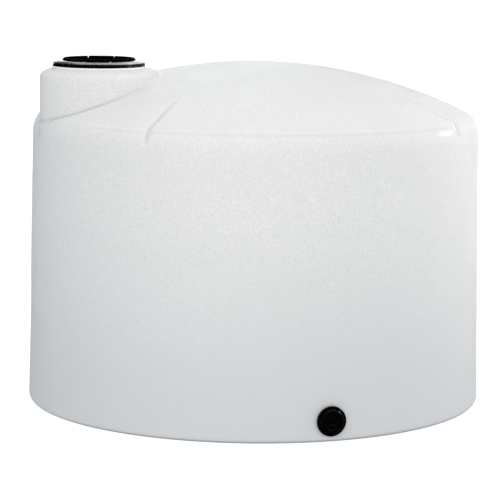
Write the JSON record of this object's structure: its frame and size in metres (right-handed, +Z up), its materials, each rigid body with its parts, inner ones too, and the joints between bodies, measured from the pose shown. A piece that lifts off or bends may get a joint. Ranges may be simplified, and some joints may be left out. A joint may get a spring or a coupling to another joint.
{
  "type": "vertical storage tank",
  "caption": "Round upright moulded plastic tank with a domed top, an off-centre screw-lid manway and a low plugged outlet fitting.",
  "frame": {"origin": "centre of the flat underside, on the tank's axis", "axes": "+Z up along the tank's axis, -Y towards the outlet fitting, -X towards the manway"},
  "size_m": [2.21, 2.2391, 1.6724],
  "materials": {
    "shell": "natural translucent polyethylene, fine orange peel",
    "black_plastic": "black moulded polypropylene, slightly glossy",
    "vent_plastic": "black moulded plastic, dull",
    "rubber": "dull black rubber",
    "steel": "plain stainless steel"
  },
  "bodies": {
    "tank": {"wall_segment_1": "shell", "wall_segment_2": "shell", "wall_segment_3": "shell", "wall_segment_4": "shell", "wall_segment_5": "shell", "wall_segment_6": "shell", "wall_segment_7": "shell", "wall_segment_8": "shell", "dome_panel_front": "shell", "dome_panel_right": "shell", "dome_panel_back": "shell", "dome_panel_left": "shell", "dome_crown": "shell", "tank_floor": "shell", "manway_neck": "shell", "manway_ring": "black_plastic", "outlet_body": "black_plastic", "outlet_nut": "black_plastic", "outlet_plug": "black_plastic", "ring_gasket": "rubber", "outlet_gasket": "rubber", "outlet_inner_gasket": "rubber", "ring_screw_01": "steel", "ring_screw_02": "steel", "ring_screw_03": "steel", "ring_screw_04": "steel", "ring_screw_05": "steel", "ring_screw_06": "steel", "ring_screw_07": "steel", "ring_screw_08": "steel", "ring_screw_09": "steel", "ring_screw_10": "steel"},
    "seal": {"lid_seal": "rubber"},
    "lid": {"lid": "black_plastic", "vent_cap": "vent_plastic"}
  },
  "joints": [
    {"name": "lid_lift", "type": "slide", "parent": "tank", "child": "seal", "axis": [0, 0, 1], "range_m": [0, 0.45]},
    {"name": "lid_turn", "type": "hinge", "parent": "seal", "child": "lid", "pos_m": [-0.787, 0, 1.646], "axis": [0, 0, 1], "range_deg": [0, 450]}
  ]
}
